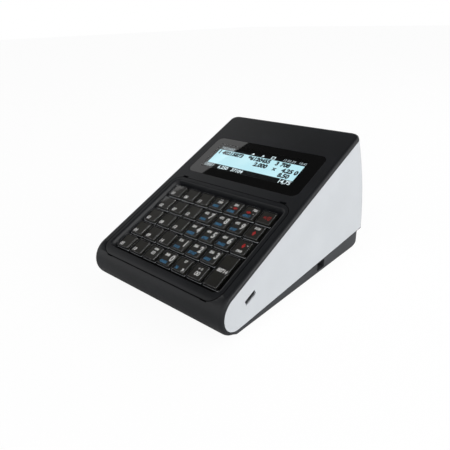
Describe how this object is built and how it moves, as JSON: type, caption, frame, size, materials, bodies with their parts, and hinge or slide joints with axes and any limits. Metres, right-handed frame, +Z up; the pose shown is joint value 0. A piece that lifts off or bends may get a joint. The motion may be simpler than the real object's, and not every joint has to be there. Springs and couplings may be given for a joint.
{
  "type": "ticket register",
  "caption": "Wedge-shaped counter register with a sloping key pad and display, a customer display in the bowed rear wall, and a drop-in ticket printer behind a hinged rear door.",
  "frame": {"origin": "on the counter, under the middle of the unit's bounding box", "axes": "+Z up, +Y from the low front edge towards the bowed rear wall, +X to the operator's right"},
  "size_m": [0.1664, 0.244, 0.131],
  "materials": {
    "charcoal_plastic": "fine moulded grain",
    "bezel_plastic": "fine moulded grain",
    "smoked_window": "polished",
    "display_metal": "bright",
    "white_plastic": "fine moulded grain",
    "grey_plastic": "fine moulded grain",
    "platen_rubber": "ground",
    "gear_plastic": "satin",
    "gear_brass": "machined",
    "motor_steel": "zinc plated",
    "frame_plastic": "moulded",
    "head_aluminium": "satin",
    "ticket_paper": "uncoated",
    "circuit_board": "solder mask",
    "key_rubber": "matt",
    "port_steel": "bright",
    "foot_rubber": "matt",
    "screw_steel": "zinc plated",
    "key_plastic": "clear cap over a dark body"
  },
  "bodies": {
    "case": {"top_cover": "charcoal_plastic", "keypad_bezel": "bezel_plastic", "display_window": "smoked_window", "lcd_module": "display_metal", "side_panel_left": "white_plastic", "side_panel_right": "white_plastic", "base_tray": "grey_plastic", "rear_cover": "charcoal_plastic", "customer_window": "smoked_window", "customer_display": "display_metal", "feed_motor": "motor_steel", "printer_frame": "frame_plastic", "main_board": "circuit_board", "keyboard_board": "circuit_board", "key_mat": "key_rubber", "usb_port": "port_steel", "rubber_feet": "foot_rubber", "screws": "screw_steel"},
    "door": {"paper_door": "charcoal_plastic"},
    "latch": {"door_latch": "grey_plastic"},
    "platen": {"platen_roller": "platen_rubber", "platen_gear": "gear_plastic"},
    "idler": {"idler_gear": "gear_plastic"},
    "pinion": {"motor_pinion": "gear_brass"},
    "head": {"print_head": "head_aluminium"},
    "roll": {"paper_roll": "ticket_paper"},
    "key_r1c1_body": {"key_r1c1": "key_plastic"},
    "key_r1c2_body": {"key_r1c2": "key_plastic"},
    "key_r1c3_body": {"key_r1c3": "key_plastic"},
    "key_r1c4_body": {"key_r1c4": "key_plastic"},
    "key_r1c5_body": {"key_r1c5": "key_plastic"},
    "key_r1c6_body": {"key_r1c6": "key_plastic"},
    "key_r2c1_body": {"key_r2c1": "key_plastic"},
    "key_r2c2_body": {"key_r2c2": "key_plastic"},
    "key_r2c3_body": {"key_r2c3": "key_plastic"},
    "key_r2c4_body": {"key_r2c4": "key_plastic"},
    "key_r2c5_body": {"key_r2c5": "key_plastic"},
    "key_r2c6_body": {"key_r2c6": "key_plastic"},
    "key_r3c1_body": {"key_r3c1": "key_plastic"},
    "key_r3c2_body": {"key_r3c2": "key_plastic"},
    "key_r3c3_body": {"key_r3c3": "key_plastic"},
    "key_r3c4_body": {"key_r3c4": "key_plastic"},
    "key_r3c5_body": {"key_r3c5": "key_plastic"},
    "key_r3c6_body": {"key_r3c6": "key_plastic"},
    "key_r3c7_body": {"key_r3c7": "key_plastic"},
    "key_r4c1_body": {"key_r4c1": "key_plastic"},
    "key_r4c2_body": {"key_r4c2": "key_plastic"},
    "key_r4c3_body": {"key_r4c3": "key_plastic"},
    "key_r4c4_body": {"key_r4c4": "key_plastic"},
    "key_r4c5_body": {"key_r4c5": "key_plastic"},
    "key_r4c6_body": {"key_r4c6": "key_plastic"},
    "key_r4c7_body": {"key_r4c7": "key_plastic"},
    "key_r5c1_body": {"key_r5c1": "key_plastic"},
    "key_r5c2_body": {"key_r5c2": "key_plastic"},
    "key_r5c3_body": {"key_r5c3": "key_plastic"},
    "key_r5c4_body": {"key_r5c4": "key_plastic"},
    "key_r5c5_body": {"key_r5c5": "key_plastic"},
    "key_r5c6_body": {"key_r5c6": "key_plastic"},
    "key_r5c7_body": {"key_r5c7": "key_plastic"},
    "key_total_body": {"key_total": "key_plastic"}
  },
  "joints": [
    {"name": "door_hinge", "type": "hinge", "parent": "case", "child": "door", "pos_m": [0, 0.11681, 0.0415], "axis": [-1, 0, 0], "range_deg": [0, 85]},
    {"name": "latch_press", "type": "slide", "parent": "case", "child": "latch", "axis": [0, -0.9656, -0.26], "range_m": [0, 0.002], "stiffness_N_per_m": 400, "springref_m": -0.0005},
    {"name": "platen_spin", "type": "hinge", "parent": "door", "child": "platen", "pos_m": [0, 0.10169, 0.088], "axis": [1, 0, 0], "continuous": true},
    {"name": "idler_spin", "type": "hinge", "parent": "case", "child": "idler", "pos_m": [0, 0.08676, 0.08315], "axis": [1, 0, 0], "continuous": true},
    {"name": "pinion_spin", "type": "hinge", "parent": "case", "child": "pinion", "pos_m": [0, 0.08051, 0.09489], "axis": [1, 0, 0], "continuous": true},
    {"name": "head_tilt", "type": "hinge", "parent": "case", "child": "head", "pos_m": [0, 0.09499, 0.0815], "axis": [1, 0, 0], "range_deg": [0, 3], "stiffness_Nm_per_rad": 1, "springref_deg": -1.15},
    {"name": "roll_spin", "type": "hinge", "parent": "case", "child": "roll", "pos_m": [0, 0.07469, 0.062], "axis": [1, 0, 0], "continuous": true},
    {"name": "key_r1c1_press", "type": "slide", "parent": "case", "child": "key_r1c1_body", "axis": [0, -0.3971, 0.9178], "range_m": [-0.0025, 0], "stiffness_N_per_m": 240, "springref_m": 0.0006},
    {"name": "key_r1c2_press", "type": "slide", "parent": "case", "child": "key_r1c2_body", "axis": [0, -0.3971, 0.9178], "range_m": [-0.0025, 0], "stiffness_N_per_m": 240, "springref_m": 0.0006},
    {"name": "key_r1c3_press", "type": "slide", "parent": "case", "child": "key_r1c3_body", "axis": [0, -0.3971, 0.9178], "range_m": [-0.0025, 0], "stiffness_N_per_m": 240, "springref_m": 0.0006},
    {"name": "key_r1c4_press", "type": "slide", "parent": "case", "child": "key_r1c4_body", "axis": [0, -0.3971, 0.9178], "range_m": [-0.0025, 0], "stiffness_N_per_m": 240, "springref_m": 0.0006},
    {"name": "key_r1c5_press", "type": "slide", "parent": "case", "child": "key_r1c5_body", "axis": [0, -0.3971, 0.9178], "range_m": [-0.0025, 0], "stiffness_N_per_m": 240, "springref_m": 0.0006},
    {"name": "key_r1c6_press", "type": "slide", "parent": "case", "child": "key_r1c6_body", "axis": [0, -0.3971, 0.9178], "range_m": [-0.0025, 0], "stiffness_N_per_m": 240, "springref_m": 0.0006},
    {"name": "key_r2c1_press", "type": "slide", "parent": "case", "child": "key_r2c1_body", "axis": [0, -0.3971, 0.9178], "range_m": [-0.0025, 0], "stiffness_N_per_m": 240, "springref_m": 0.0006},
    {"name": "key_r2c2_press", "type": "slide", "parent": "case", "child": "key_r2c2_body", "axis": [0, -0.3971, 0.9178], "range_m": [-0.0025, 0], "stiffness_N_per_m": 240, "springref_m": 0.0006},
    {"name": "key_r2c3_press", "type": "slide", "parent": "case", "child": "key_r2c3_body", "axis": [0, -0.3971, 0.9178], "range_m": [-0.0025, 0], "stiffness_N_per_m": 240, "springref_m": 0.0006},
    {"name": "key_r2c4_press", "type": "slide", "parent": "case", "child": "key_r2c4_body", "axis": [0, -0.3971, 0.9178], "range_m": [-0.0025, 0], "stiffness_N_per_m": 240, "springref_m": 0.0006},
    {"name": "key_r2c5_press", "type": "slide", "parent": "case", "child": "key_r2c5_body", "axis": [0, -0.3971, 0.9178], "range_m": [-0.0025, 0], "stiffness_N_per_m": 240, "springref_m": 0.0006},
    {"name": "key_r2c6_press", "type": "slide", "parent": "case", "child": "key_r2c6_body", "axis": [0, -0.3971, 0.9178], "range_m": [-0.0025, 0], "stiffness_N_per_m": 240, "springref_m": 0.0006},
    {"name": "key_r3c1_press", "type": "slide", "parent": "case", "child": "key_r3c1_body", "axis": [0, -0.3971, 0.9178], "range_m": [-0.0025, 0], "stiffness_N_per_m": 240, "springref_m": 0.0006},
    {"name": "key_r3c2_press", "type": "slide", "parent": "case", "child": "key_r3c2_body", "axis": [0, -0.3971, 0.9178], "range_m": [-0.0025, 0], "stiffness_N_per_m": 240, "springref_m": 0.0006},
    {"name": "key_r3c3_press", "type": "slide", "parent": "case", "child": "key_r3c3_body", "axis": [0, -0.3971, 0.9178], "range_m": [-0.0025, 0], "stiffness_N_per_m": 240, "springref_m": 0.0006},
    {"name": "key_r3c4_press", "type": "slide", "parent": "case", "child": "key_r3c4_body", "axis": [0, -0.3971, 0.9178], "range_m": [-0.0025, 0], "stiffness_N_per_m": 240, "springref_m": 0.0006},
    {"name": "key_r3c5_press", "type": "slide", "parent": "case", "child": "key_r3c5_body", "axis": [0, -0.3971, 0.9178], "range_m": [-0.0025, 0], "stiffness_N_per_m": 240, "springref_m": 0.0006},
    {"name": "key_r3c6_press", "type": "slide", "parent": "case", "child": "key_r3c6_body", "axis": [0, -0.3971, 0.9178], "range_m": [-0.0025, 0], "stiffness_N_per_m": 240, "springref_m": 0.0006},
    {"name": "key_r3c7_press", "type": "slide", "parent": "case", "child": "key_r3c7_body", "axis": [0, -0.3971, 0.9178], "range_m": [-0.0025, 0], "stiffness_N_per_m": 240, "springref_m": 0.0006},
    {"name": "key_r4c1_press", "type": "slide", "parent": "case", "child": "key_r4c1_body", "axis": [0, -0.3971, 0.9178], "range_m": [-0.0025, 0], "stiffness_N_per_m": 240, "springref_m": 0.0006},
    {"name": "key_r4c2_press", "type": "slide", "parent": "case", "child": "key_r4c2_body", "axis": [0, -0.3971, 0.9178], "range_m": [-0.0025, 0], "stiffness_N_per_m": 240, "springref_m": 0.0006},
    {"name": "key_r4c3_press", "type": "slide", "parent": "case", "child": "key_r4c3_body", "axis": [0, -0.3971, 0.9178], "range_m": [-0.0025, 0], "stiffness_N_per_m": 240, "springref_m": 0.0006},
    {"name": "key_r4c4_press", "type": "slide", "parent": "case", "child": "key_r4c4_body", "axis": [0, -0.3971, 0.9178], "range_m": [-0.0025, 0], "stiffness_N_per_m": 240, "springref_m": 0.0006},
    {"name": "key_r4c5_press", "type": "slide", "parent": "case", "child": "key_r4c5_body", "axis": [0, -0.3971, 0.9178], "range_m": [-0.0025, 0], "stiffness_N_per_m": 240, "springref_m": 0.0006},
    {"name": "key_r4c6_press", "type": "slide", "parent": "case", "child": "key_r4c6_body", "axis": [0, -0.3971, 0.9178], "range_m": [-0.0025, 0], "stiffness_N_per_m": 240, "springref_m": 0.0006},
    {"name": "key_r4c7_press", "type": "slide", "parent": "case", "child": "key_r4c7_body", "axis": [0, -0.3971, 0.9178], "range_m": [-0.0025, 0], "stiffness_N_per_m": 240, "springref_m": 0.0006},
    {"name": "key_r5c1_press", "type": "slide", "parent": "case", "child": "key_r5c1_body", "axis": [0, -0.3971, 0.9178], "range_m": [-0.0025, 0], "stiffness_N_per_m": 240, "springref_m": 0.0006},
    {"name": "key_r5c2_press", "type": "slide", "parent": "case", "child": "key_r5c2_body", "axis": [0, -0.3971, 0.9178], "range_m": [-0.0025, 0], "stiffness_N_per_m": 240, "springref_m": 0.0006},
    {"name": "key_r5c3_press", "type": "slide", "parent": "case", "child": "key_r5c3_body", "axis": [0, -0.3971, 0.9178], "range_m": [-0.0025, 0], "stiffness_N_per_m": 240, "springref_m": 0.0006},
    {"name": "key_r5c4_press", "type": "slide", "parent": "case", "child": "key_r5c4_body", "axis": [0, -0.3971, 0.9178], "range_m": [-0.0025, 0], "stiffness_N_per_m": 240, "springref_m": 0.0006},
    {"name": "key_r5c5_press", "type": "slide", "parent": "case", "child": "key_r5c5_body", "axis": [0, -0.3971, 0.9178], "range_m": [-0.0025, 0], "stiffness_N_per_m": 240, "springref_m": 0.0006},
    {"name": "key_r5c6_press", "type": "slide", "parent": "case", "child": "key_r5c6_body", "axis": [0, -0.3971, 0.9178], "range_m": [-0.0025, 0], "stiffness_N_per_m": 240, "springref_m": 0.0006},
    {"name": "key_r5c7_press", "type": "slide", "parent": "case", "child": "key_r5c7_body", "axis": [0, -0.3971, 0.9178], "range_m": [-0.0025, 0], "stiffness_N_per_m": 240, "springref_m": 0.0006},
    {"name": "key_total_press", "type": "slide", "parent": "case", "child": "key_total_body", "axis": [0, -0.3971, 0.9178], "range_m": [-0.0025, 0], "stiffness_N_per_m": 240, "springref_m": 0.0006}
  ],
  "couplings": [
    {"joint": "idler_spin", "follows": "platen_spin", "ratio": -0.625},
    {"joint": "pinion_spin", "follows": "platen_spin", "ratio": 1.6667}
  ]
}
